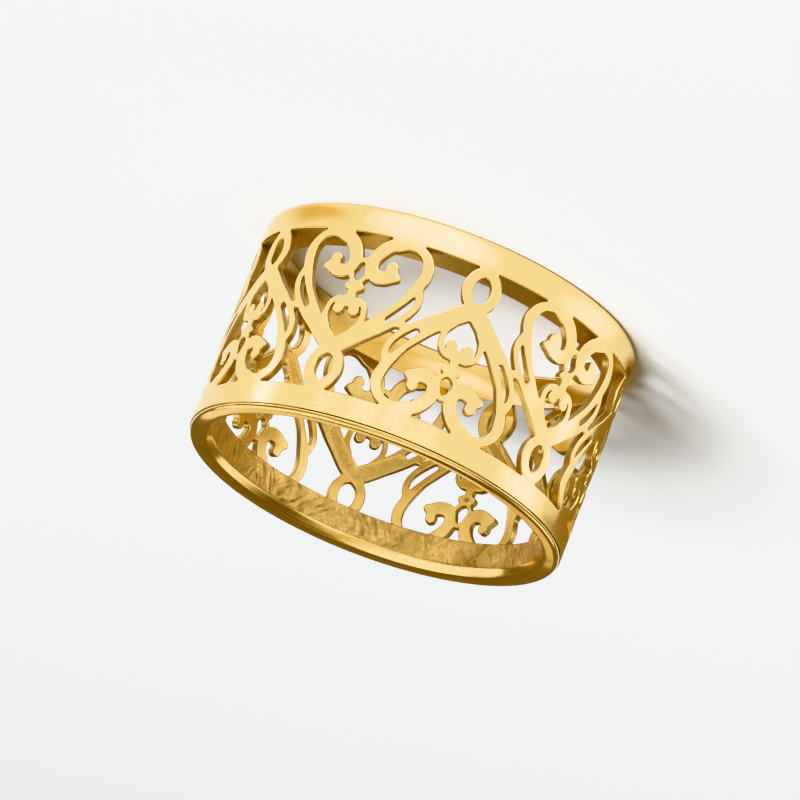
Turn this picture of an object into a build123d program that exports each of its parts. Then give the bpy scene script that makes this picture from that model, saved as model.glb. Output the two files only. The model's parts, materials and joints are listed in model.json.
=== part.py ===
from build123d import *
from math import cos, degrees, pi, radians, sin
import os

# Filigree openwork ring, cast in one piece: two plain rims joined by a thin wall that is pierced with
# hearts and scrolls. Lengths are millimetres and angles are degrees. The ring's axis is Z, the origin
# is the centre of the lower rim's end face, and the middle of one heart faces -Y.

# Ring blank
bore_diameter = 17.2
rim_wall = 1.15
web_wall = 0.42
band_width = 11.45

# Rims: the height of the outer face, and how much further the inner face reaches towards the middle
rim_height = 1.49
rim_foot = 0.42

# Rounded ends of the rims
lip_height = 0.27
lip_step = 0.06
bore_round = 0.45

# Openwork: the wanted distance between neighbouring hearts, which decides how many fit round the ring
motif_pitch = 6.1

# Widths of the bars that each motif is drawn with
arm_bar = 0.92
heart_bar = 0.52
scroll_bar = 0.70
stem_bar = 0.40
ring_bar = 0.24
ribbon_bar = 0.30
leaf_bar = 0.34
loop_bar = 0.55
neck_bar = 0.36

# Diameters of the round drops that end the scrolls and fill the small heart
scroll_drop = 0.60
knob_drop = 0.36
bead_drop = 0.44
lobe_drop = 0.60

# Worked out from the sizes above
bore_radius = bore_diameter / 2
outer_radius = bore_radius + rim_wall
half_width = band_width / 2
field_half = half_width - rim_height
motif_pairs = max(1, round(pi * outer_radius / motif_pitch))
motif_count = 2 * motif_pairs
pitch = 2 * pi * outer_radius / motif_count
half_pitch = pitch / 2
punch_start = outer_radius - 2 * web_wall
punch_depth = 3 * web_wall

# The tables draw the right half of one motif, a heart that points down with its loop on the lower rim.
# Columns: out from the motif's middle as a share of half the pitch, up from the middle of the band as a
# share of half the openwork's height, and how wide as a share of the bar or drop named beside it.
bars = [
    # Broad arm of the V under the heart
    (arm_bar, [(0.00, -0.46, 0.85), (0.15, -0.385, 1.0), (0.39, -0.23, 1.0), (0.625, -0.085, 0.95)]),
    # Side of the heart, from the arm up to its shoulder
    (heart_bar, [(0.50, -0.10, 0.95), (0.65, 0.055, 0.73), (0.83, 0.23, 0.67), (0.965, 0.41, 0.92),
                 (1.05, 0.56, 1.08), (1.08, 0.70, 1.13), (1.025, 0.83, 1.04), (0.88, 0.93, 0.95),
                 (0.68, 0.965, 0.95), (0.47, 0.94, 1.60)]),
    # Scroll that carries on from the shoulder and curls under
    (scroll_bar, [(0.68, 0.965, 0.70), (0.47, 0.94, 0.89), (0.30, 0.85, 1.05), (0.18, 0.72, 1.0),
                  (0.165, 0.59, 0.94), (0.27, 0.495, 1.04), (0.44, 0.495, 1.02), (0.56, 0.535, 0.85)]),
    # Stem under the oval
    (stem_bar, [(0.0, 0.32, 1.45), (0.0, 0.25, 1.2), (0.0, 0.20, 1.05), (0.0, 0.12, 1.5)]),
    # Thin side of the oval
    (ring_bar, [(0.0, 0.345, 1.2), (0.11, 0.42, 1.0), (0.15, 0.51, 1.0), (0.11, 0.60, 1.0),
                (0.0, 0.665, 1.1)]),
    # Ribbon of the small heart
    (ribbon_bar, [(0.0, 0.13, 1.4), (0.17, 0.135, 1.4), (0.275, 0.10, 1.05), (0.32, 0.03, 0.92),
                  (0.33, -0.06, 1.0), (0.305, -0.15, 1.2), (0.24, -0.225, 1.3)]),
    # Leaf beside the heart
    (leaf_bar, [(0.52, -0.23, 1.05), (0.80, -0.055, 1.05), (0.975, 0.085, 1.0), (1.085, 0.22, 0.95),
                (1.115, 0.335, 1.0), (1.055, 0.455, 1.3)]),
    # Loop on the lower rim
    (loop_bar, [(-0.03, -0.46, 1.05), (0.17, -0.57, 0.92), (0.235, -0.71, 1.0), (0.195, -0.85, 1.0),
                (0.085, -0.945, 1.05), (-0.05, -0.985, 1.1)]),
    # Neck that joins the leaf to the next motif's leaf
    (neck_bar, [(0.92, 0.0, 1.0), (1.08, 0.0, 1.0)]),
]
drops = [
    (scroll_drop, [(0.51, 0.64, 1.0), (0.52, 0.56, 1.0), (0.56, 0.535, 1.0)]),
    (knob_drop, [(0.64, 0.525, 1.0), (0.58, 0.52, 1.3)]),
    (bead_drop, [(0.0, 0.315, 1.0), (0.10, 0.315, 0.95)]),
    (lobe_drop, [(0.08, 0.10, 0.8), (0.14, 0.02, 1.0)]),
]


def bar_face(width, rows):
    """Flat outline of one bar: a smooth line on each side of its middle line."""
    middle = [Vector(out * half_pitch, up * field_half) for out, up, wide in rows]
    line = Spline(middle) if len(middle) > 2 else Line(middle)
    left = []
    right = []
    for point, (out, up, wide) in zip(middle, rows):
        along = line.tangent_at(line.param_at_point(point))
        across = Vector(-along.Y, along.X) * (wide * width / 2)
        left.append(point + across)
        right.append(point - across)
    side = Spline if len(middle) > 2 else Line
    outline = [side(left), Line(left[-1], right[-1]), side(right), Line(left[0], right[0])]
    return make_face(outline)


def drop_face(diameter, row):
    """Flat round drop."""
    out, up, wide = row
    return Pos(out * half_pitch, up * field_half) * Circle(wide * diameter / 2)


def motif_faces():
    """Flat faces of one whole motif, its right half and the mirror of it."""
    half = [bar_face(width, rows) for width, rows in bars]
    half += [drop_face(diameter, row) for diameter, rows in drops for row in rows]
    return half + [mirror(face, about=Plane.YZ) for face in half]


def gap_faces():
    """The openings of one motif: what its bars and its neighbours' bars leave of the field."""
    motif = motif_faces()
    upside_down = [mirror(face, about=Plane.XZ) for face in motif]
    metal = motif + [Pos(side * pitch, 0) * face for side in (-1, 1) for face in upside_down]
    field = Rectangle(2 * pitch, 2 * field_half)
    openings = (field - metal).faces()
    return [face for face in openings if abs(face.center().X) < half_pitch]


def punch(opening, turn, flip):
    """Solid that cuts one opening through the wall, square to the wall at the opening's own middle."""
    face = mirror(opening, about=Plane.XZ) if flip else opening
    middle = face.center()
    angle = turn - 90 + degrees(middle.X / outer_radius)
    outward = Vector(cos(radians(angle)), sin(radians(angle)), 0)
    across = Vector(-outward.Y, outward.X, 0)
    seat = Plane(origin=outward * punch_start + Vector(0, 0, half_width), x_dir=across, z_dir=outward)
    return extrude(seat * (Pos(-middle.X, 0) * face), amount=punch_depth, dir=outward)


def pierced_wall():
    """Thin wall between the rims, its ends buried in them, with every opening cut."""
    wall_half = field_half + rim_height / 2
    tube = Cylinder(outer_radius, 2 * wall_half) - Cylinder(outer_radius - web_wall, 2 * wall_half)
    tube = Pos(0, 0, half_width) * tube
    openings = gap_faces()
    step = 360 / motif_count
    punches = [punch(opening, step * k, k % 2 == 1) for k in range(motif_count) for opening in openings]
    return tube - punches


def rim():
    """Upper rim: flat outer face, small lip, rounded bore edge and a foot that slopes to the openwork."""
    lip_radius = outer_radius - lip_step
    lip_base = band_width - lip_height
    lip = CenterArc((lip_radius - lip_height, lip_base), lip_height, 0, 90)
    inner = CenterArc((bore_radius + bore_round, band_width - bore_round), bore_round, 90, 90)
    foot = half_width + field_half
    outside = Polyline(
        (bore_radius, band_width - bore_round),
        (bore_radius, foot - rim_foot),
        (outer_radius, foot),
        (outer_radius, lip_base),
        (lip_radius, lip_base),
    )
    end = Line(lip @ 1, inner @ 0)
    profile = make_face([outside, lip, end, inner])
    return revolve(Plane.XZ * profile, axis=Axis.Z)


upper_rim = rim()
lower_rim = mirror(upper_rim, about=Plane.XY.offset(half_width))
wall = pierced_wall()
band = wall + upper_rim + lower_rim

os.makedirs("parts", exist_ok=True)
export_step(band, "parts/filigree_band.step")
print("filigree_band", round(band.volume, 2), "mm3,", len(band.solids()), "solid,", motif_count, "motifs")
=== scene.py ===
import json
import math

import bpy
import numpy as np
from mathutils import Euler, Matrix, Vector
from mathutils.geometry import delaunay_2d_cdt


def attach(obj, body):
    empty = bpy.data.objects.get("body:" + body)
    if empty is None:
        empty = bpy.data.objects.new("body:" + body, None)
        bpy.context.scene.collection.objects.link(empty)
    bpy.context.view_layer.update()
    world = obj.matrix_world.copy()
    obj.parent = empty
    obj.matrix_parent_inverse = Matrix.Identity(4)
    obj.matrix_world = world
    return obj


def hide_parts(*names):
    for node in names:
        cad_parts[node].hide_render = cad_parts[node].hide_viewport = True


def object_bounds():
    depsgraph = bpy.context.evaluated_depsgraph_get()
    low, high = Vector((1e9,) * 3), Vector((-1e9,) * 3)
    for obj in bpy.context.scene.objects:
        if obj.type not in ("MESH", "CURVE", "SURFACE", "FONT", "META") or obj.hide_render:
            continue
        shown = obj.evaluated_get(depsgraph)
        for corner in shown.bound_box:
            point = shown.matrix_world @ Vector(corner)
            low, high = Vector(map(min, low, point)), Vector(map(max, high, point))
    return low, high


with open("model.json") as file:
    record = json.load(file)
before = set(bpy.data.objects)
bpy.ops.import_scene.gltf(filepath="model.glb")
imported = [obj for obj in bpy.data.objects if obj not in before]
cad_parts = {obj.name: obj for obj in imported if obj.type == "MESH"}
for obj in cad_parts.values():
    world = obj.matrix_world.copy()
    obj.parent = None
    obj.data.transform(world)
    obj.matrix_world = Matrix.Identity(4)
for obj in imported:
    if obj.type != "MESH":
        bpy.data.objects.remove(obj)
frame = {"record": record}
cad_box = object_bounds()

# One millimetre in Blender's metres. Lengths below are in millimetres where nothing else is said.
MM = 0.001

# Sizes of the ring that the frame gives: radii of the outside and the bore, and half the width of the band
low, high = cad_box
bore_mount = next(mount for mount in frame["record"]["mounts"] if mount["name"] == "finger_bore")
OUTER = round(high[0] / MM, 3)
BORE = bore_mount["dims"]["r_mm"]
HALF = round((high[2] - low[2]) / MM / 2, 4)

# Sizes of the ring that the frame doesn't give, as the solid has them
WEB = 0.42
RIM_HEIGHT = 1.49
FOOT = 0.42
WANTED_PITCH = 6.1

# Worked out from the sizes above
INNER = OUTER - WEB
FIELD = round(HALF - RIM_HEIGHT, 4)
COUNT = 2 * round(math.pi * OUTER / WANTED_PITCH)
PITCH = 2 * math.pi * OUTER / COUNT
HALF_PITCH = PITCH / 2

# Widths of the bars and diameters of the drops, as the solid has them
ARM_BAR = 0.92
HEART_BAR = 0.52
SCROLL_BAR = 0.70
STEM_BAR = 0.40
RING_BAR = 0.24
RIBBON_BAR = 0.30
LEAF_BAR = 0.34
LOOP_BAR = 0.55
NECK_BAR = 0.36
SCROLL_DROP = 0.60
KNOB_DROP = 0.36
BEAD_DROP = 0.44
LOBE_DROP = 0.60

# Right half of one motif, a heart that points down. Columns: out from the motif's middle as a share of half
# the pitch, up from the middle of the band as a share of half the openwork's height, and width as a share of
# the bar or drop.
BEAD_UP = 0.315
BARS = [
    # Broad arm of the V under the heart
    (ARM_BAR, [(0.00, -0.46, 0.85), (0.15, -0.385, 1.0), (0.39, -0.23, 1.0), (0.625, -0.085, 0.95)]),
    # Side of the heart, from the arm up to its shoulder
    (HEART_BAR, [(0.50, -0.10, 0.95), (0.65, 0.055, 0.73), (0.83, 0.23, 0.67), (0.965, 0.41, 0.92),
                 (1.05, 0.56, 1.08), (1.08, 0.70, 1.13), (1.025, 0.83, 1.04), (0.88, 0.93, 0.95),
                 (0.68, 0.965, 0.95), (0.47, 0.94, 1.60)]),
    # Scroll that carries on from the shoulder and curls under
    (SCROLL_BAR, [(0.68, 0.965, 0.70), (0.47, 0.94, 0.89), (0.30, 0.85, 1.05), (0.18, 0.72, 1.0),
                  (0.165, 0.59, 0.94), (0.27, 0.495, 1.04), (0.44, 0.495, 1.02), (0.56, 0.535, 0.85)]),
    # Stem under the oval
    (STEM_BAR, [(0.0, 0.32, 1.45), (0.0, 0.25, 1.2), (0.0, 0.20, 1.05), (0.0, 0.12, 1.5)]),
    # Thin side of the oval
    (RING_BAR, [(0.0, 0.345, 1.2), (0.11, 0.42, 1.0), (0.15, 0.51, 1.0), (0.11, 0.60, 1.0),
                (0.0, 0.665, 1.1)]),
    # Ribbon of the small heart
    (RIBBON_BAR, [(0.0, 0.13, 1.4), (0.17, 0.135, 1.4), (0.275, 0.10, 1.05), (0.32, 0.03, 0.92),
                  (0.33, -0.06, 1.0), (0.305, -0.15, 1.2), (0.24, -0.225, 1.3)]),
    # Leaf beside the heart
    (LEAF_BAR, [(0.52, -0.23, 1.05), (0.80, -0.055, 1.05), (0.975, 0.085, 1.0), (1.085, 0.22, 0.95),
                (1.115, 0.335, 1.0), (1.055, 0.455, 1.3)]),
    # Loop on the lower rim
    (LOOP_BAR, [(-0.03, -0.46, 1.05), (0.17, -0.57, 0.92), (0.235, -0.71, 1.0), (0.195, -0.85, 1.0),
                (0.085, -0.945, 1.05), (-0.05, -0.985, 1.1)]),
    # Neck that joins the leaf to the next motif's leaf
    (NECK_BAR, [(0.92, 0.0, 1.0), (1.08, 0.0, 1.0)]),
]
DROPS = [
    (SCROLL_DROP, [(0.51, 0.64, 1.0), (0.52, 0.56, 1.0), (0.56, 0.535, 1.0)]),
    (KNOB_DROP, [(0.64, 0.525, 1.0), (0.58, 0.52, 1.3)]),
    (BEAD_DROP, [(0.0, BEAD_UP, 1.0), (0.10, BEAD_UP, 0.95)]),
    (LOBE_DROP, [(0.08, 0.10, 0.8), (0.14, 0.02, 1.0)]),
]

# Finish of the casting: radius of the openings' outer and inner edges, and of the fillets where bars meet
EDGE_OUT = 0.075
EDGE_IN = 0.085
FILLET = 0.07

# Painted shade, from 0 for clean metal to 1: on the back of the openwork, on the openings' walls, on the slope
# behind them, and how much more there is for each millimetre of depth in the dished back
BACK_SHADE = 0.07
WALL_SHADE = 0.45
SLOPE_SHADE = 0.36
SHADE_PER_DEPTH = 7

# Points of a bar that is straight, points from one row of a curved bar to the next, and steps round the
# openings' outer and inner edges
STRAIGHT_POINTS = 5
CURVE_POINTS = 8
OUT_STEPS = 3
IN_STEPS = 2

# Spacing of points along the openings and round the dishes, and the fewest points and cells of such a loop
OPENING_SPACING = 0.10
DISH_SPACING = 0.13
FEWEST_POINTS = 16
FEWEST_CELLS = 20
SMALLEST_AREA = 0.01

# Grid over two pitches of the unrolled openwork, on which distances are worked out. Across is round the ring
# from the first heart's middle, up is from the middle of the band, and FAR stands where a bar isn't near. A
# point past the grid counts as one in its last cell. The smallest values keep divisions from failing.
STEP = 0.03
MARGIN = 0.6
FAR = 1.0
ACROSS = np.arange(-PITCH - MARGIN, PITCH + MARGIN, STEP)
UP = np.arange(-FIELD - MARGIN, FIELD + MARGIN, STEP)
LAST_CELL = 1.001
SMALLEST_SQUARE = 1e-12
SMALLEST_LEAN = 1e-6


def spline(rows, width):
    """Points and widths along a smooth line through the rows of one bar."""
    knots = np.array(rows, float) * [HALF_PITCH, FIELD, width]
    if len(knots) == 2:
        t = np.linspace(0, 1, STRAIGHT_POINTS)[:, None]
        return knots[0] * (1 - t) + knots[1] * t
    place = knots[:, :2]
    along = np.r_[0, np.cumsum(np.hypot(*np.diff(place, axis=0).T))]
    gap = np.diff(along)
    count = len(knots)
    system = np.eye(count)
    wanted = np.zeros((count, 2))
    for i in range(1, count - 1):
        system[i, i - 1:i + 2] = gap[i - 1], 2 * (gap[i - 1] + gap[i]), gap[i]
        ahead = (place[i + 1] - place[i]) / gap[i]
        behind = (place[i] - place[i - 1]) / gap[i - 1]
        wanted[i] = 6 * (ahead - behind)
    bend = np.linalg.solve(system, wanted)
    points = []
    for i in range(count - 1):
        lean = (place[i + 1] - place[i]) / gap[i] - gap[i] * (2 * bend[i] + bend[i + 1]) / 6
        for t in np.linspace(0, 1, CURVE_POINTS, endpoint=False):
            s = t * gap[i]
            point = place[i] + lean * s + bend[i] / 2 * s**2 + (bend[i + 1] - bend[i]) / (6 * gap[i]) * s**3
            points.append((*point, knots[i, 2] + (knots[i + 1, 2] - knots[i, 2]) * t))
    points.append(tuple(knots[-1]))
    return np.array(points)


def stroke_distance(points):
    """Distance to one bar on the grid, negative in the metal, and FAR where the bar isn't near."""
    nearest = np.full((len(UP), len(ACROSS)), FAR)
    for (x0, y0, wide0), (x1, y1, wide1) in zip(points[:-1], points[1:]):
        reach = max(wide0, wide1) / 2 + MARGIN
        left, right = np.searchsorted(ACROSS, [min(x0, x1) - reach, max(x0, x1) + reach])
        bottom, top = np.searchsorted(UP, [min(y0, y1) - reach, max(y0, y1) + reach])
        if left == right or bottom == top:
            continue
        across, up = np.meshgrid(ACROSS[left:right], UP[bottom:top])
        dx, dy = x1 - x0, y1 - y0
        square = dx * dx + dy * dy + SMALLEST_SQUARE
        t = np.clip(((across - x0) * dx + (up - y0) * dy) / square, 0, 1)
        distance = np.hypot(across - x0 - t * dx, up - y0 - t * dy) - (wide0 + (wide1 - wide0) * t) / 2
        window = nearest[bottom:top, left:right]
        np.minimum(window, distance, out=window)
    return nearest


def blend(a, b):
    """The nearer of two distances, with a small fillet where they meet."""
    share = np.maximum(FILLET - np.abs(a - b), 0) / FILLET
    return np.minimum(a, b) - share * share * FILLET / 4


def metal_distance():
    """Distance to the metal of the openwork and the rims on the grid, with the first motif in the middle."""
    lines = [spline(rows, width) for width, rows in BARS]
    for diameter, rows in DROPS:
        lines += [np.array([(out * HALF_PITCH, up * FIELD, wide * diameter)] * 2) for out, up, wide in rows]
    total = FIELD - np.abs(np.meshgrid(ACROSS, UP)[1])
    for line in lines:
        copies = []
        for neighbour in (-1, 0, 1):
            flip = -1 if neighbour else 1
            for side in (-1, 1):
                copies.append(stroke_distance(line * [side, flip, 1] + [neighbour * PITCH, 0, 0]))
        total = blend(total, np.minimum.reduce(copies))
    return total


def sample(grid, across, up):
    """The grid's value at points, between its four nearest cells."""
    x = np.clip((across - ACROSS[0]) / STEP, 0, len(ACROSS) - LAST_CELL)
    y = np.clip((up - UP[0]) / STEP, 0, len(UP) - LAST_CELL)
    i, j = x.astype(int), y.astype(int)
    fx, fy = x - i, y - j
    return (
        grid[j, i] * (1 - fx) * (1 - fy)
        + grid[j, i + 1] * fx * (1 - fy)
        + grid[j + 1, i] * (1 - fx) * fy
        + grid[j + 1, i + 1] * fx * fy
    )


# How the line where the grid is 0 crosses a cell, for each case of its corners: the sides that it goes to
# and comes from. Corners count 1, 2, 4, 8 from the bottom left and sides 0 to 3 from the bottom, both
# counter-clockwise.
ALL_CORNERS = 15
CROSSINGS = {
    1: [(3, 0)], 2: [(0, 1)], 3: [(3, 1)], 4: [(1, 2)], 6: [(0, 2)], 7: [(3, 2)],
    8: [(2, 3)], 9: [(2, 0)], 11: [(2, 1)], 12: [(1, 3)], 13: [(1, 0)], 14: [(0, 3)],
    5: [(3, 0), (1, 2)], 10: [(0, 1), (2, 3)],
}


def loops_of(grid):
    """Closed lines where the grid is 0, each with the side above 0 on its left."""
    inside = grid > 0
    case = inside[:-1, :-1] * 1 + inside[:-1, 1:] * 2 + inside[1:, 1:] * 4 + inside[1:, :-1] * 8

    def cell_side(j, i, side):
        return ((j, i, 0), (j, i + 1, 1), (j + 1, i, 0), (j, i, 1))[side]

    def crossing(j, i, upright):
        if upright:
            a, b = grid[j, i], grid[j + 1, i]
            return ACROSS[i], UP[j] + STEP * a / (a - b)
        a, b = grid[j, i], grid[j, i + 1]
        return ACROSS[i] + STEP * a / (a - b), UP[j]

    following = {}
    for j, i in np.argwhere((case > 0) & (case < ALL_CORNERS)):
        for end, start in CROSSINGS[int(case[j, i])]:
            following[cell_side(j, i, start)] = cell_side(j, i, end)
    loops = []
    while following:
        start = next(iter(following))
        chain, at = [], start
        while at in following:
            chain.append(at)
            at = following.pop(at)
        if at == start and len(chain) > FEWEST_CELLS:
            loops.append(np.array([crossing(*place) for place in chain]))
    return loops


def even(loop, spacing):
    """The loop with points at even distances along it."""
    closed = np.vstack([loop, loop[:1]])
    along = np.r_[0, np.cumsum(np.hypot(*np.diff(closed, axis=0).T))]
    count = max(FEWEST_POINTS, round(along[-1] / spacing))
    places = np.linspace(0, along[-1], count, endpoint=False)
    return np.c_[np.interp(places, along, closed[:, 0]), np.interp(places, along, closed[:, 1])]


def area(loop):
    """Area inside a loop, above 0 where it runs counter-clockwise."""
    x, y = loop.T
    return 0.5 * np.sum(x * np.roll(y, -1) - np.roll(x, -1) * y)


def uphill(grid, loop):
    """Unit directions, across and up, in which the grid grows at a loop's points."""
    grid_up, grid_across = np.gradient(grid, STEP)
    lean = np.c_[sample(grid_across, *loop.T), sample(grid_up, *loop.T)]
    return lean / np.maximum(np.hypot(*lean.T), SMALLEST_LEAN)[:, None]


def circle(corners):
    """Unit directions, across and up, round a small circle."""
    angle = np.arange(corners) * 2 * math.pi / corners
    return np.c_[np.cos(angle), np.sin(angle)]


METAL = metal_distance()
arm_line = spline(BARS[0][1], ARM_BAR)
ARM = np.minimum(stroke_distance(arm_line), stroke_distance(arm_line * [-1, 1, 1]))

# Openings of the first motif: their outlines and, at each point, the direction away from the metal
openings = []
for loop in loops_of(METAL):
    if abs(loop[:, 0].mean()) < HALF_PITCH and area(loop) > SMALLEST_AREA:
        loop = even(loop, OPENING_SPACING)
        openings.append((loop, uphill(METAL, loop)))
print("openings in a motif:", len(openings), "points:", sum(len(loop) for loop, _ in openings))


class Shell:
    """Points with their own normals and darkening, mostly painted shade, and faces, gathered for one mesh."""

    def __init__(self):
        self.points = []
        self.normals = []
        self.grime = []
        self.faces = []
        self.count = 0

    def add(self, across, up, out, facing, grime=0.0):
        """Adds points and the way they face, both given across, up and out. Gives back their numbers."""
        rows = np.broadcast_arrays(across, up, out, *facing, grime)
        across, up, out, face_across, face_up, face_out, grime = rows
        self.grime.append(grime)
        sine, cosine = np.sin(across / OUTER), np.cos(across / OUTER)
        self.points.append(np.c_[out * sine, -out * cosine, up])
        face_x = face_out * sine + face_across * cosine
        face_y = -face_out * cosine + face_across * sine
        normal = np.c_[face_x, face_y, face_up]
        self.normals.append(normal / np.linalg.norm(normal, axis=1)[:, None])
        first = self.count
        self.count += len(across)
        return np.arange(first, self.count)

    def strip(self, a, b, flip=False):
        """Closed band of quads between two rings of points."""
        quads = np.c_[a, np.roll(a, -1), np.roll(b, -1), b]
        self.faces += [tuple(quad) for quad in (quads[:, ::-1] if flip else quads)]

    def strips(self, rings, flip=False):
        """Bands of quads from each ring of points to the next."""
        for a, b in zip(rings[:-1], rings[1:]):
            self.strip(a, b, flip)

    def make(self, name):
        """The object with all of it, its lower rim standing on the floor."""
        mesh = bpy.data.meshes.new(name)
        points = np.vstack(self.points) + [0, 0, HALF]
        mesh.from_pydata((points * MM).tolist(), [], [[int(i) for i in face] for face in self.faces])
        mesh.polygons.foreach_set("use_smooth", [True] * len(mesh.polygons))
        mesh.normals_split_custom_set_from_vertices(np.vstack(self.normals).tolist())
        # Darkening of each point, mostly painted shade, kept for the material
        layer = mesh.attributes.new("grime", "FLOAT", "POINT")
        layer.data.foreach_set("value", np.concatenate(self.grime).astype(np.float32))
        mesh.update()
        return new_object(name, mesh)


def new_object(name, data):
    """Object in the scene that carries the data."""
    made = bpy.data.objects.new(name, data)
    bpy.context.scene.collection.objects.link(made)
    return made


shell = Shell()
TURN = 400
ROUND = np.arange(TURN) * (2 * math.pi * OUTER / TURN)


def sides_of(corners):
    """The three sides of a triangle."""
    a, b, c = corners
    return [frozenset(pair) for pair in ((a, b), (b, c), (c, a))]


# Settings of the triangulation: it covers the whole hull, and points nearer than this are one
WHOLE_HULL = 0
NEAREST = 1e-9


def sheet(outlines, edges, folds, inner_points, flip):
    """Fills the sheet between two circles round the ring with triangles, apart from the openings.

    The openings' outlines, the edges and the folds are rings of point numbers. Metal is what can be reached
    from a point inside it without crossing an outline or an edge.
    """
    order, lines = [], []

    def take(rings):
        for ring in rings:
            first, count = len(order), len(ring)
            order.extend(ring)
            lines.extend((first + i, first + (i + 1) % count) for i in range(count))

    take([*outlines, *edges])
    border = {frozenset(line) for line in lines}
    border_end = len(order)
    take(folds)
    order.extend(inner_points)

    # The sheet is laid flat as a ring that keeps its angles, so that the triangles stay even
    points = np.vstack(shell.points)[order]
    angle = np.arctan2(points[:, 0], -points[:, 1])
    size = np.exp(-points[:, 2] / OUTER)
    flat = np.c_[size * np.cos(angle), size * np.sin(angle)]
    places = [Vector(place) for place in flat.tolist()]
    result = delaunay_2d_cdt(places, lines, [], WHOLE_HULL, NEAREST, True)
    number = [origin[0] if origin else -1 for origin in result[3]]
    triangles = [tuple(number[i] for i in corners) for corners in result[2]]
    beside = {}
    for t, corners in enumerate(triangles):
        for pair in sides_of(corners):
            beside.setdefault(pair, []).append(t)
    todo = [t for t, corners in enumerate(triangles) if max(corners) >= border_end]
    metal = set(todo)
    while todo:
        for pair in sides_of(triangles[todo.pop()]):
            if pair in border:
                continue
            for t in beside[pair]:
                if t not in metal:
                    metal.add(t)
                    todo.append(t)
    for t in sorted(metal):
        corners = [order[i] for i in triangles[t]]
        shell.faces.append(tuple(corners[::-1] if flip else corners))


def opening_rings(across, up, away_across, away_up):
    """Rings of points through one opening's wall, from its rounded outer to its rounded inner edge."""
    rings = []
    for step, turn in enumerate(np.linspace(0, math.pi / 2, OUT_STEPS + 1)):
        sine, cosine = math.sin(turn), math.cos(turn)
        back = EDGE_OUT * (1 - sine)
        out = OUTER - EDGE_OUT * (1 - cosine)
        facing = (away_across * sine, away_up * sine, cosine)
        # Painted shade begins where the outer edge turns into the wall
        dark = WALL_SHADE if step == OUT_STEPS else 0.0
        rings.append(shell.add(across - away_across * back, up - away_up * back, out, facing, dark))
    for turn in np.linspace(math.pi / 2, 0, IN_STEPS + 1):
        sine, cosine = math.sin(turn), math.cos(turn)
        back = EDGE_IN * (1 - sine)
        out = INNER + EDGE_IN * (1 - cosine)
        facing = (away_across * sine, away_up * sine, -cosine)
        # Painted shade on the wall, fading out round the inner edge
        dark = WALL_SHADE * sine
        rings.append(shell.add(across - away_across * back, up - away_up * back, out, facing, dark))
    return rings


outer_loops, inner_loops = [], []
for k in range(COUNT):
    flip = -1 if k % 2 else 1
    for loop, away in openings:
        columns = [loop[:, 0] + k * PITCH, loop[:, 1] * flip, away[:, 0], away[:, 1] * flip]
        if flip < 0:
            columns = [column[::-1] for column in columns]
        rings = opening_rings(*columns)
        shell.strips(rings)
        outer_loops.append(rings[0])
        inner_loops.append(rings[-1])


def fold(across, up):
    """The point of the first motif's grid that stands for a point anywhere on the ring."""
    k = np.round(across / PITCH)
    return across - k * PITCH, np.where(k % 2 == 0, up, -up)


# Distance between rows of spread points as a share of the distance in a row, which makes even triangles,
# and the fewest rows
ROW_SHARE = 0.87
FEWEST_ROWS = 3


def grid_points(gap, top, margin):
    """Points spread over the metal, at least the margin from its edges."""
    count = round(2 * math.pi * OUTER / gap)
    round_ring = np.arange(count) * (2 * math.pi * OUTER / count)
    heights = np.linspace(-top, top, max(FEWEST_ROWS, round(2 * top / (gap * ROW_SHARE))))[1:-1]
    across, up = np.meshgrid(round_ring, heights)
    across = across + (np.arange(len(heights)) % 2)[:, None] * gap / 2
    across, up = across.ravel(), up.ravel()
    folded_across, folded_up = fold(across, up)
    keep = sample(METAL, folded_across, np.clip(folded_up, UP[0], UP[-1])) < -margin
    return across[keep], up[keep]


# Outer skin, from rim to rim, with small pits: degrees round the ring, up from the middle of the band, and
# radius, which is also the depth. Between its edge and its floor a pit has a ring, at shares of both.
SKIN_DOWN = 0.36
SKIN_TOP = HALF - SKIN_DOWN
SKIN_GAP = 0.36
SKIN_MARGIN = EDGE_OUT + 0.10
PITS = [
    (18.6, -5.29, 0.045), (-4.4, -5.27, 0.035), (-11.3, -5.22, 0.04), (-37.8, -5.26, 0.045),
    (-45.7, -5.29, 0.04), (-46.9, -5.24, 0.03), (97, 5.2, 0.04), (150, -5.1, 0.035),
    (201, 4.9, 0.04), (262, -5.25, 0.045),
]
PIT_CORNERS = 8
PIT_CLEAR = 0.14
PIT_FLOOR_SIZE = 0.55
PIT_FLOOR_DEPTH = 0.8
skin_edges = [shell.add(ROUND, side * SKIN_TOP, OUTER, (0, 0, 1)) for side in (1, -1)]
spread_across, spread_up = grid_points(SKIN_GAP, SKIN_TOP, SKIN_MARGIN)
pit_rings, pit_floors = [], []
for degrees, up, size in PITS:
    across = math.radians(degrees % 360) * OUTER
    clear = np.hypot(spread_across - across, spread_up - up) > PIT_CLEAR
    spread_across, spread_up = spread_across[clear], spread_up[clear]
    edge_across, edge_up = circle(PIT_CORNERS).T * size
    pit_rings.append(shell.add(across + edge_across, up + edge_up, OUTER, (0, 0, 1)))
    floor_across, floor_up = edge_across * PIT_FLOOR_SIZE, edge_up * PIT_FLOOR_SIZE
    facing = (-floor_across, -floor_up, size * PIT_FLOOR_SIZE)
    floor_ring = (across + floor_across, up + floor_up, OUTER - size * PIT_FLOOR_DEPTH)
    # The pit's floor and the ring round it are fully darkened
    pit_rings.append(shell.add(*floor_ring, facing, 1.0))
    pit_floors.append(shell.add([across], [up], OUTER - size, (0, 0, 1), 1.0))
inside = np.concatenate([shell.add(spread_across, spread_up, OUTER, (0, 0, 1)), *pit_floors])
sheet(outer_loops, skin_edges, pit_rings, inside, False)

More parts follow.
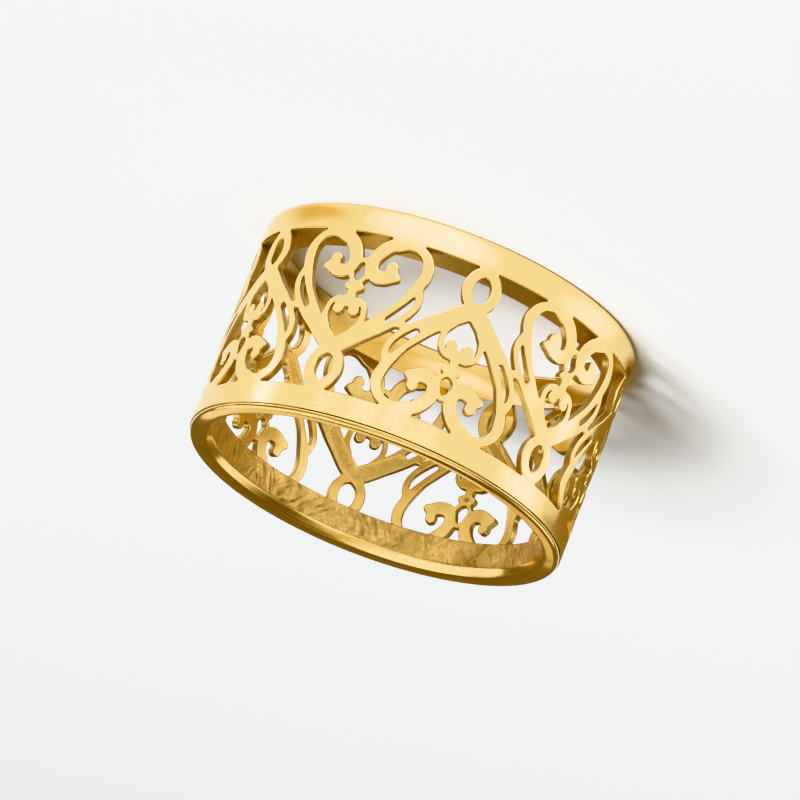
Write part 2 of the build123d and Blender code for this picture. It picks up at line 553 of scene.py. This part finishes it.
# Back of the openwork: the broad arms are dished and the bead has a small pit. A dish begins a little inside
# the arm's edge and slopes down to its flat floor, and the pit slopes down from its rim to its floor.
# STEEPEST is how far the middle of a slope leans where it is as deep as it is wide.
BACK_TOP = FIELD + 0.35
BACK_GAP = 0.30
BACK_MARGIN = EDGE_IN + 0.06
DISH_EDGE = 0.10
DISH_SLOPE = 0.17
DISH_DEPTH = 0.03
DISH_CLEAR = 0.04
BEAD_PIT = (0.0, BEAD_UP * FIELD)
BEAD_PIT_CORNERS = 16
BEAD_PIT_RADIUS = 0.165
BEAD_PIT_SLOPE = 0.05
BEAD_PIT_DEPTH = 0.07
BEAD_PIT_CLEAR = 0.22
STEEPEST = 1.5


def dish_rings():
    """Rings of one motif's dishes and pit: where, the way out of the metal, how deep and how steep."""
    rings = []
    for share, steep in ((0.0, 0.0), (0.5, STEEPEST), (1.0, 0.0)):
        for loop in loops_of(-(ARM + DISH_EDGE + share * DISH_SLOPE)):
            loop = even(loop, DISH_SPACING)
            rings.append((loop, uphill(ARM, loop), share * DISH_DEPTH, steep * DISH_DEPTH / DISH_SLOPE))
        away = circle(BEAD_PIT_CORNERS)
        place = away * (BEAD_PIT_RADIUS - BEAD_PIT_SLOPE * share) + BEAD_PIT
        rings.append((place, away, share * BEAD_PIT_DEPTH, steep))
    return rings


# The back carries a little painted shade, more in the dishes and the bead's pit
back_edges = [shell.add(ROUND, side * BACK_TOP, INNER, (0, 0, -1), BACK_SHADE) for side in (1, -1)]
dishes = dish_rings()
folds = []
for k in range(COUNT):
    flip = -1 if k % 2 else 1
    for loop, away, depth, steep in dishes:
        facing = (-away[:, 0] * steep, -away[:, 1] * flip * steep, -1.0)
        # Painted shade that deepens with the dish's depth
        dark = BACK_SHADE + depth * SHADE_PER_DEPTH
        folds.append(shell.add(loop[:, 0] + k * PITCH, loop[:, 1] * flip, INNER + depth, facing, dark))
across, up = grid_points(BACK_GAP, BACK_TOP, BACK_MARGIN)
folded_across, folded_up = fold(across, up)
arm_distance = sample(ARM, folded_across, folded_up)
off_slope = np.abs(arm_distance + DISH_EDGE + DISH_SLOPE / 2) > DISH_SLOPE / 2 + DISH_CLEAR
off_pit = np.hypot(folded_across - BEAD_PIT[0], folded_up - BEAD_PIT[1]) > BEAD_PIT_CLEAR
clear = off_slope & off_pit
across, up, arm_distance = across[clear], up[clear], arm_distance[clear]
depth = np.where(arm_distance < -DISH_EDGE - DISH_SLOPE, DISH_DEPTH, 0.0)
inside = shell.add(across, up, INNER + depth, (0, 0, -1.0), BACK_SHADE + depth * SHADE_PER_DEPTH)
sheet(inner_loops, back_edges, folds, inside, True)


def leaning(points):
    """Rows of a section for points out and up, each with the way it faces taken from its two neighbours."""
    place = np.array(points)
    along = np.gradient(place, axis=0)
    facing = np.c_[along[:, 1], -along[:, 0]] / np.hypot(*along.T)[:, None]
    return [(*a, *b, 0.0) for a, b in zip(place.tolist(), facing.tolist())]


def from_corner(rows):
    """Rows of a section from rows that count in from the outside and down from the rim's end."""
    return [
        (OUTER - inward, HALF - down, face_out, face_up, share * GROOVE_SHADE)
        for inward, down, face_out, face_up, share in rows
    ]


# Painted shade in the groove for each point of a circle, which comes and goes round the ring
slow_swing = 0.6 * np.cos(ROUND / OUTER + 0.45)
quick_swing = 0.45 * np.cos(5 * ROUND / OUTER - 1.4)
GROOVE_SHADE = np.clip(0.5 + slow_swing + quick_swing, 0.1, 1)

# Section of a rim, in three lengths. A length's rows hold how far out from the axis and up from the middle of
# the band a point lies, the way it faces (out and up) and its painted shade.
# Groove above the upper rim's lip: in, down, the way it faces, and its share of the groove's painted shade
groove = from_corner([
    (0.0, 0.325, 1, 0, 0.0),
    (0.006, 0.312, 0.7, 0.7, 0.0),
    (0.020, 0.306, 0.1, 1, 0.6),
    (0.082, 0.304, 0.1, 1, 1.0),
    (0.088, 0.296, 1, 0.2, 1.0),
    (0.086, 0.268, 1, -0.3, 1.0),
    (0.070, 0.254, 0.6, -0.8, 0.7),
])
# Plain step in its place on the lower rim
plain_step = from_corner([
    (0.0, 0.325, 1, 0, 0.0),
    (0.012, 0.300, 0.8, 0.6, 0.0),
    (0.048, 0.268, 0.8, 0.6, 0.0),
])
# Lip, flat end, long rounded bore edge and bore: in and down
LIP_TO_BORE = [
    (0.060, 0.244), (0.057, 0.215), (0.068, 0.170), (0.095, 0.118), (0.140, 0.072), (0.205, 0.036),
    (0.300, 0.013), (0.420, 0.003), (0.550, 0.0), (0.670, 0.010), (0.770, 0.040), (0.850, 0.088),
    (0.905, 0.145), (0.952, 0.220), (1.000, 0.305), (1.047, 0.390), (1.092, 0.470), (1.128, 0.540),
    (1.147, 0.590), (1.150, 0.650),
]
lip = leaning([(OUTER - inward, HALF - down) for inward, down in LIP_TO_BORE])
# Foot of the bore and the slope behind the openings: how far over the foot the bore ends, two points round the
# foot's edge, the slope's top a little inside the outer skin, and its end within the metal
BORE_END = 0.06
EDGE_AT = (0.012, 0.015)
SLOPE_FROM = (0.055, 0.022)
SLOPE_INSIDE = 0.053
SLOPE_RAISED = 0.004
BURIED_AT = (0.15, 0.2)
foot_up = FIELD - FOOT
slope = np.array([OUTER - SLOPE_INSIDE - BORE, FOOT + SLOPE_RAISED])
slope_face = np.array([slope[1], -slope[0]]) / np.hypot(*slope)
foot = [
    (BORE, foot_up + BORE_END, -1, 0, 0.0),
    # The foot's edge and the slope carry painted shade
    (BORE + EDGE_AT[0], foot_up + EDGE_AT[1], -0.75, -0.66, SLOPE_SHADE),
    (BORE + SLOPE_FROM[0], foot_up + SLOPE_FROM[1], *slope_face, SLOPE_SHADE),
    (OUTER - SLOPE_INSIDE, FIELD + SLOPE_RAISED, *slope_face, SLOPE_SHADE),
    (OUTER - BURIED_AT[0], FIELD + BURIED_AT[1], *slope_face, SLOPE_SHADE),
]
for side, corner, skin, back in zip((1, -1), (groove, plain_step), skin_edges, back_edges):
    rings = [skin]
    for out, up, face_out, face_up, dark in [*corner, *lip, *foot]:
        rings.append(shell.add(ROUND, side * up, out, (0, side * face_up, face_out), dark))
    rings.append(back)
    shell.strips(rings, flip=side < 0)

band = shell.make("filigree_band_cast")
print("triangles:", sum(len(face.vertices) - 2 for face in band.data.polygons))


class Graph:
    """Shader nodes of a material, added by short calls."""

    def __init__(self, name):
        self.material = bpy.data.materials.new(name)
        self.material.use_nodes = True
        self.nodes, self.links = self.material.node_tree.nodes, self.material.node_tree.links
        self.nodes.clear()

    def node(self, kind, inputs=(), **settings):
        """Adds a node. An input that is given as a socket is linked to it, any other is set."""
        made = self.nodes.new(kind)
        for key, value in settings.items():
            setattr(made, key, value)
        for key, value in dict(inputs).items():
            if isinstance(value, bpy.types.NodeSocket):
                self.links.new(value, made.inputs[key])
            else:
                made.inputs[key].default_value = value
        return made

    def number(self, operation, *values):
        """Result of a sum on numbers or sockets."""
        return self.node("ShaderNodeMath", dict(enumerate(values)), operation=operation).outputs[0]

    def add(self, a, b):
        return self.number("ADD", a, b)

    def times(self, a, b):
        return self.number("MULTIPLY", a, b)

    def vector(self, x, y, z):
        """Point with the given coordinates."""
        return self.node("ShaderNodeCombineXYZ", {"X": x, "Y": y, "Z": z}).outputs[0]

    def noise(self, place, scale, detail, **more):
        """Noise about 0.5, finer for a larger scale."""
        inputs = {"Vector": place, "Scale": scale, "Detail": detail, **more}
        return self.node("ShaderNodeTexNoise", inputs).outputs["Fac"]

    def stretch(self, value, start, end):
        """0 up to the start, 1 from the end on, and even between them."""
        inputs = {"Value": value, "From Min": start, "From Max": end}
        return self.node("ShaderNodeMapRange", inputs).outputs["Result"]

    def bump(self, height, distance, strength=1.0, **more):
        """Normals bent by a height of at most the distance, in metres."""
        inputs = {"Height": height, "Strength": strength, "Distance": distance, **more}
        return self.node("ShaderNodeBump", inputs).outputs["Normal"]

    def mix(self, share, first, second):
        """Colour that goes from the first to the second."""
        made = self.node("ShaderNodeMix", data_type="RGBA")
        self.links.new(share, made.inputs[0])
        colours = [socket for socket in made.inputs if socket.type == "RGBA"]
        colours[0].default_value = first
        colours[1].default_value = second
        return next(socket for socket in made.outputs if socket.type == "RGBA")

    def finish(self, shader):
        """Ends the material in the shader and gives it back."""
        self.node("ShaderNodeOutputMaterial", {"Surface": shader})
        return self.material


# Gold: colour and roughness of clean metal and of residue and painted shade
CLEAN_COLOUR = (1.0, 0.735, 0.28, 1)
SHADE_AND_RESIDUE_COLOUR = (0.15, 0.062, 0.006, 1)
CLEAN_ROUGHNESS = 0.15
SHADE_AND_RESIDUE_ROUGHNESS = 0.55

# Heights of its relief in metres: waves, polishing lines, and mould strokes with their grain
WAVE_HEIGHT = 0.00010
LINE_HEIGHT = 0.000012
LINE_STRENGTH = 0.5
STROKE_HEIGHT = 0.000029
GRAIN_SHARE = 0.5

# Polishing lines: how fast they change round the ring and across it, and how far from the band's middle
# they begin
LINE_ROUND = 1.2
LINE_ACROSS = 9000.0
LINES_FROM = 5.46

# Mould strokes: slants in degrees with a shift that makes the two families differ, how fast they change
# along and across, and where they are, out to a radius and above a height over the floor
STROKE_FAMILIES = ((38.0, 0.0), (-30.0, 7.0))
STROKE_ALONG = 900.0
STROKE_ACROSS = 4200.0
BORE_LIMIT = BORE + 0.012
MOULD_FROM = 5.7

# How much residue each of these adds: patina, speckle, the bore as a whole, its mottle and its strokes
PATINA = 0.16
SPECKLE = 0.14
BORE_RESIDUE = 0.22
MOTTLE = 0.22
STROKE_RESIDUE = 0.34


def mould_strokes(graph, place, angle, z, bore):
    """Curved strokes on the bore: two crossing families that take turns, each in patches."""
    around = graph.times(angle, BORE * MM)
    families = []
    for slant, shift in STROKE_FAMILIES:
        sine, cosine = math.sin(math.radians(slant)), math.cos(math.radians(slant))
        along = graph.add(graph.times(around, sine), graph.times(z, cosine))
        across = graph.number("SUBTRACT", graph.times(around, cosine), graph.times(z, sine))
        along = graph.times(along, STROKE_ALONG)
        across = graph.times(across, STROKE_ACROSS)
        strokes_at = graph.vector(along, across, shift)
        family = graph.noise(strokes_at, 1.0, 2.0, Distortion=0.6)
        families.append(graph.stretch(family, 0.47, 0.66))
    turns = graph.stretch(graph.noise(place, 420.0, 1.0), 0.46, 0.54)
    other_turns = graph.number("SUBTRACT", 1.0, turns)
    strokes = graph.add(graph.times(families[0], turns), graph.times(families[1], other_turns))
    patches = graph.stretch(graph.noise(place, 650.0, 3.0), 0.26, 0.56)
    return graph.times(graph.times(strokes, patches), bore)


def shade_and_residue(graph, place, bore, strokes):
    """How much painted shade and residue there is: the mesh's own darkening, mostly painted shade, thin patina
    and speckle, and more residue on the mould's bore.
    """
    grime = graph.node("ShaderNodeAttribute", attribute_name="grime").outputs["Fac"]
    patina = graph.stretch(graph.noise(place, 300.0, 5.0, Roughness=0.62), 0.46, 0.72)
    speckle = graph.stretch(graph.noise(place, 4200.0, 3.0, Roughness=0.7), 0.44, 0.74)
    mottle = graph.stretch(graph.noise(place, 1050.0, 4.0, Roughness=0.6), 0.44, 0.66)
    grime = graph.add(grime, graph.times(patina, PATINA))
    grime = graph.add(grime, graph.times(speckle, SPECKLE))
    grime = graph.add(grime, graph.times(bore, graph.add(BORE_RESIDUE, graph.times(mottle, MOTTLE))))
    return graph.number("MINIMUM", graph.add(grime, graph.times(strokes, STROKE_RESIDUE)), 1.0)


def gold_material():
    """Polished yellow gold with polishing lines on the rims' ends, mould strokes on one bore, residue and
    painted shade.
    """
    graph = Graph("gold")
    place = graph.node("ShaderNodeTexCoord").outputs["Object"]
    split = graph.node("ShaderNodeSeparateXYZ", {"Vector": place})
    x, y, z = (split.outputs[axis] for axis in "XYZ")
    angle = graph.number("ARCTAN2", x, y)
    radius = graph.number("SQRT", graph.add(graph.times(x, x), graph.times(y, y)))

    # Slow waves that keep the wide faces from mirroring perfectly
    normal = graph.bump(graph.noise(place, 330.0, 1.0), WAVE_HEIGHT)

    # Fine polishing lines round the rims' ends
    lines_at = graph.vector(
        graph.times(angle, LINE_ROUND), graph.times(radius, LINE_ACROSS), graph.times(z, LINE_ACROSS)
    )
    from_middle = graph.number("ABSOLUTE", graph.number("SUBTRACT", z, HALF * MM))
    ends = graph.number("GREATER_THAN", from_middle, LINES_FROM * MM)
    lines = graph.times(graph.noise(lines_at, 1.0, 2.0), ends)
    normal = graph.bump(lines, LINE_HEIGHT, LINE_STRENGTH, Normal=normal)

    # Bore of the upper rim, left from the mould: strokes cut into it, over a fine grain
    narrow = graph.number("LESS_THAN", radius, BORE_LIMIT * MM)
    bore = graph.times(narrow, graph.number("GREATER_THAN", z, MOULD_FROM * MM))
    strokes = mould_strokes(graph, place, angle, z, bore)
    grain = graph.times(graph.times(graph.noise(place, 3500.0, 3.0), bore), GRAIN_SHARE)
    normal = graph.bump(graph.add(graph.times(strokes, -1.0), grain), STROKE_HEIGHT, Normal=normal)

    grime = shade_and_residue(graph, place, bore, strokes)
    # Painted shade and residue darken the colour and dull the metal
    dull = {"Value": grime, "To Min": CLEAN_ROUGHNESS, "To Max": SHADE_AND_RESIDUE_ROUGHNESS}
    shader = graph.node("ShaderNodeBsdfPrincipled", {
        "Base Color": graph.mix(grime, CLEAN_COLOUR, SHADE_AND_RESIDUE_COLOUR),
        "Metallic": 1.0,
        "Roughness": graph.node("ShaderNodeMapRange", dull).outputs["Result"],
        "Normal": normal,
    })
    return graph.finish(shader.outputs["BSDF"])


band.data.materials.append(gold_material())
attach(band, "root")
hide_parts("filigree_band")


def plain_piece(name, corners, inputs):
    """One flat face with a plain material."""
    mesh = bpy.data.meshes.new(name)
    mesh.from_pydata(corners, [], [tuple(range(len(corners)))])
    piece = new_object(name, mesh)
    material = bpy.data.materials.new(name)
    material.use_nodes = True
    for key, value in inputs.items():
        material.node_tree.nodes["Principled BSDF"].inputs[key].default_value = value
    mesh.materials.append(material)
    return piece


# Floor, in metres. It has no gloss, so that it doesn't show the ovals below, which are there for the metal.
FLOOR_HALF = 2
FLOOR_COLOUR = (0.74, 0.745, 0.75, 1)
SQUARE = [(-1, -1, 0), (1, -1, 0), (1, 1, 0), (-1, 1, 0)]
floor_corners = [(x * FLOOR_HALF, y * FLOOR_HALF, z) for x, y, z in SQUARE]
floor_inputs = {"Base Color": FLOOR_COLOUR, "Roughness": 0.6, "Specular IOR Level": 0.0}
plain_piece("floor", floor_corners, floor_inputs)

# Surroundings that the metal mirrors: bright in front of the ring and dark behind it. Stops: place along the
# turn from behind, 0, to the front, 1, and colour.
FRONT = (0.20, -0.98, 0.0)
BEHIND_COLOUR = (0.20, 0.14, 0.06, 1)
FRONT_COLOUR = (0.85, 0.83, 0.78, 1)
STOPS = [(0.40, (0.15, 0.10, 0.04, 1)), (0.70, (0.26, 0.20, 0.11, 1)), (0.88, (0.60, 0.57, 0.50, 1))]
world = bpy.data.worlds.new("studio")
bpy.context.scene.world = world
world.use_nodes = True
world_nodes, world_links = world.node_tree.nodes, world.node_tree.links
towards = world_nodes.new("ShaderNodeTexCoord")
facing_front = world_nodes.new("ShaderNodeVectorMath")
facing_front.operation = "DOT_PRODUCT"
facing_front.inputs[1].default_value = FRONT
world_links.new(towards.outputs["Generated"], facing_front.inputs[0])
spread = world_nodes.new("ShaderNodeMapRange")
spread.inputs["From Min"].default_value = -1
spread.inputs["From Max"].default_value = 1
world_links.new(facing_front.outputs["Value"], spread.inputs["Value"])
ramp = world_nodes.new("ShaderNodeValToRGB")
stops = ramp.color_ramp.elements
stops[0].position, stops[1].position = 0.0, 1.0
stops[0].color, stops[1].color = BEHIND_COLOUR, FRONT_COLOUR
for place, colour in STOPS:
    stops.new(place).color = colour
world_links.new(spread.outputs["Result"], ramp.inputs["Fac"])
world_links.new(ramp.outputs["Color"], world_nodes["Background"].inputs["Color"])
world_nodes["Background"].inputs["Strength"].default_value = 1.0


def softbox(name, place, rotation, size, watts, colour, glossy, diffuse):
    """Area light, in metres, that the camera doesn't see."""
    lamp = bpy.data.lights.new(name, "AREA")
    lamp.shape = "RECTANGLE"
    lamp.size, lamp.size_y = size
    lamp.energy = watts
    lamp.color = colour
    holder = new_object(name, lamp)
    holder.location = place
    holder.rotation_mode = "QUATERNION"
    holder.rotation_quaternion = rotation
    holder.visible_glossy = glossy
    holder.visible_diffuse = diffuse
    holder.visible_camera = False


# Soft key light, in metres and watts. It lights the floor, and the metal doesn't mirror it.
KEY_PLACE = Vector((0.30, -0.33, 0.45))
KEY_AIM = Vector((0, -0.01, 0))
KEY_SIZE = (0.35, 0.35)
KEY_WATTS = 8.3
KEY_COLOUR = (0.90, 0.95, 1.0)
key_rotation = (KEY_AIM - KEY_PLACE).to_track_quat("-Z", "Y")
softbox("key", KEY_PLACE, key_rotation, KEY_SIZE, KEY_WATTS, KEY_COLOUR, glossy=False, diffuse=True)

# Reflector cards that only the metal shows: middle and size, tilt and turn about the upright in degrees, glow
# and colour. Tilt 0 faces down, 180 faces up and -90 faces the front.
CARDS = [
    ("over_left", (26.3, 9.8, 27.0), (68.0, 15.5), 0, 43, 1.8, (1.0, 1.0, 1.0)),
    ("behind_left", (9.6, 2.0, 15.4), (3.2, 5.6), -90, 0, 0.98, (1.0, 0.94, 0.80)),
    ("behind_middle", (1.3, 2.0, 15.4), (13.4, 5.6), -90, 0, 0.74, (1.0, 0.88, 0.62)),
    ("behind_right", (-7.9, 2.0, 15.4), (5.0, 5.6), -90, 0, 0.54, (1.0, 0.82, 0.50)),
    # Faint glow that the metal sees over the whole floor
    ("floor_glow", (0.0, 0.0, 0.05), (240.0, 240.0), 180, 0, 0.14, (1.0, 1.0, 1.0)),
]
for name, place, (width, depth), tilt, turn, glow, colour in CARDS:
    size = (width * MM, depth * MM)
    watts = glow * math.pi * size[0] * size[1]
    rotation = Euler((math.radians(tilt), 0, math.radians(turn))).to_quaternion()
    softbox(f"card_{name}", Vector(place) * MM, rotation, size, watts, colour, glossy=True, diffuse=False)

# Soft ovals that only the metal shows: middle and size, turn in degrees, glow, and the colour that each one
# gives to what lies behind it. On the floor each lies a little higher than the one before. An oval is full out
# to the core's share of its radius.
CLEAR = (1.0, 1.0, 1.0)
POOL_STEP = 0.004
POOL_CORE = 0.3
POOLS = [
    # Over the ring, where the open end's lip mirrors them
    ("over_front", (-6.5, -17.0, 27.0), (38.0, 16.0), 0, 1.45, CLEAR),
    ("over_right", (-42.0, 14.0, 27.0), (74.0, 28.0), -56, 1.8, CLEAR),
    ("over_shade", (-6.3, 1.4, 20.0), (32.0, 9.0), -32, 0.0, (0.40, 0.28, 0.10)),
    # On the floor, where the upper rim mirrors it
    ("far_left", (39.5, -1.5, 0.1), (11.0, 11.0), 0, 16.0, CLEAR),
    ("far_front_1", (31.0, -27.0, 0.1), (12.0, 11.0), 56, 1.8, CLEAR),
    ("far_front_2", (20.0, -36.0, 0.1), (17.0, 11.0), 32, 3.2, CLEAR),
    ("far_front_3", (7.0, -40.7, 0.1), (18.0, 11.0), 8, 5.2, CLEAR),
    ("far_front_4", (-3.5, -41.2, 0.1), (12.0, 11.0), -6, 2.0, CLEAR),
    ("far_right", (-35.8, -15.5, 0.1), (30.0, 10.0), -74, 8.0, CLEAR),
    # Closer in, where the openwork mirrors it
    ("mid_right", (-23.5, -6.0, 0.1), (24.0, 8.0), 0, 4.6, CLEAR),
    ("mid_front_right", (-16.5, -14.6, 0.1), (17.0, 5.6), 25, 3.6, CLEAR),
    # At the ring's foot, where the lower rim mirrors it
    ("foot_left", (4.1, -10.8, 0.1), (12.0, 5.8), 21, 5.6, CLEAR),
    ("foot_right", (-8.2, -8.4, 0.1), (8.0, 5.0), -44, 2.2, CLEAR),
    ("foot_shade_left", (9.7, -4.4, 0.1), (8.0, 3.2), 62, 0.0, (0.60, 0.48, 0.26)),
    ("foot_shade_right", (-10.4, -1.2, 0.1), (4.5, 3.5), -80, 0.0, (0.55, 0.36, 0.12)),
    # In the finger hole: warm shade, light for the middle of the far rim, and deeper shade for its ends
    ("hole_warmth", (0.0, 5.2, 0.1), (18.0, 8.0), 0, 0.0, (0.80, 0.66, 0.44)),
    ("hole_light", (-1.8, 6.1, 0.1), (2.8, 3.4), 0, 3.0, CLEAR),
    ("hole_shade_left", (5.0, 6.1, 0.1), (5.6, 3.6), 0, 0.0, (0.26, 0.16, 0.04)),
    ("hole_shade_right", (-5.7, 5.3, 0.1), (6.4, 3.8), 0, 0.0, (0.30, 0.19, 0.05)),
]


def show_in_reflections_only(piece):
    piece.visible_camera = False
    piece.visible_diffuse = False
    piece.visible_shadow = False
    piece.visible_transmission = False


def pool_material(name, glow, tint):
    """Glow and tint that are full in the oval's core and fade out to its edge."""
    graph = Graph(name)
    place = graph.node("ShaderNodeTexCoord").outputs["Object"]
    length = graph.node("ShaderNodeVectorMath", {0: place}, operation="LENGTH").outputs["Value"]
    limits = {"Value": length, "From Min": 1.0, "From Max": POOL_CORE}
    fade = graph.node("ShaderNodeMapRange", limits, interpolation_type="SMOOTHSTEP").outputs["Result"]
    light = graph.node("ShaderNodeEmission", {"Strength": graph.times(fade, glow)})
    through = graph.node("ShaderNodeBsdfTransparent", {"Color": graph.mix(fade, (1, 1, 1, 1), (*tint, 1))})
    both = graph.node("ShaderNodeAddShader", {0: light.outputs[0], 1: through.outputs[0]})
    return graph.finish(both.outputs[0])


def pool(index, name, place, size, turn, glow, tint):
    """Level oval that adds a glow to a mirrored ray and tints what lies behind it."""
    mesh = bpy.data.meshes.new(name)
    mesh.from_pydata(SQUARE, [], [(0, 1, 2, 3)])
    mesh.materials.append(pool_material(name, glow, tint))
    piece = new_object(name, mesh)
    piece.location = (Vector(place) + Vector((0, 0, index * POOL_STEP))) * MM
    piece.rotation_euler = (0, 0, math.radians(turn))
    piece.scale = (size[0] / 2 * MM, size[1] / 2 * MM, 1)
    show_in_reflections_only(piece)


for index, row in enumerate(POOLS):
    pool(index, *row)

# Dark card on the floor behind the ring's right side, which only the metal shows
FLAG_HEIGHT = 0.06
FLAG_GLOW = (0.24, 0.155, 0.04, 1)
FLAG_OUTLINE = [
    (-10.6, -1.5), (-10, 2), (-9, 38), (-20, 38), (-40, 26), (-44, -1.5), (-39.3, -1.5), (-34.5, 10.0),
]
flag = plain_piece(
    "flag",
    [(x * MM, y * MM, FLAG_HEIGHT * MM) for x, y in FLAG_OUTLINE],
    {"Base Color": (0, 0, 0, 1), "Emission Color": FLAG_GLOW, "Emission Strength": 1.0},
)
show_in_reflections_only(flag)

# Camera, from a fit to outlines and landmarks read off the photograph: its distance in metres, its angles,
# and, in pixels of the picture, the focal length and the place of the optical axis
DISTANCE = 0.5490709
ELEVATION = math.radians(18.4474)
ROLL = math.radians(158.9162)
TURNED = math.radians(7.8879)
FOCAL = 11098.8449
AXIS_RIGHT = 412.3264
AXIS_DOWN = 396.0927
PICTURE = 800
SENSOR = 36
EXPOSURE = 0.16
back = Vector((
    math.cos(ELEVATION) * math.sin(TURNED),
    -math.cos(ELEVATION) * math.cos(TURNED),
    math.sin(ELEVATION),
))
right = Vector((math.cos(TURNED), math.sin(TURNED), 0))
above = back.cross(right)
picture_right = math.cos(ROLL) * right - math.sin(ROLL) * above
picture_up = math.sin(ROLL) * right + math.cos(ROLL) * above
camera_data = bpy.data.cameras.new("camera")
camera_data.sensor_width = SENSOR
camera_data.lens = FOCAL / PICTURE * SENSOR
camera_data.shift_x = -(AXIS_RIGHT - PICTURE / 2) / PICTURE
camera_data.shift_y = (AXIS_DOWN - PICTURE / 2) / PICTURE
camera_data.clip_start = 0.05
camera_data.clip_end = 10
camera = new_object("camera", camera_data)
facing = Matrix((picture_right, picture_up, back)).transposed().to_4x4()
camera.matrix_world = Matrix.Translation(Vector((0, 0, HALF * MM)) + back * DISTANCE) @ facing
bpy.context.scene.camera = camera
bpy.context.scene.view_settings.view_transform = "Khronos PBR Neutral"
bpy.context.scene.view_settings.exposure = EXPOSURE
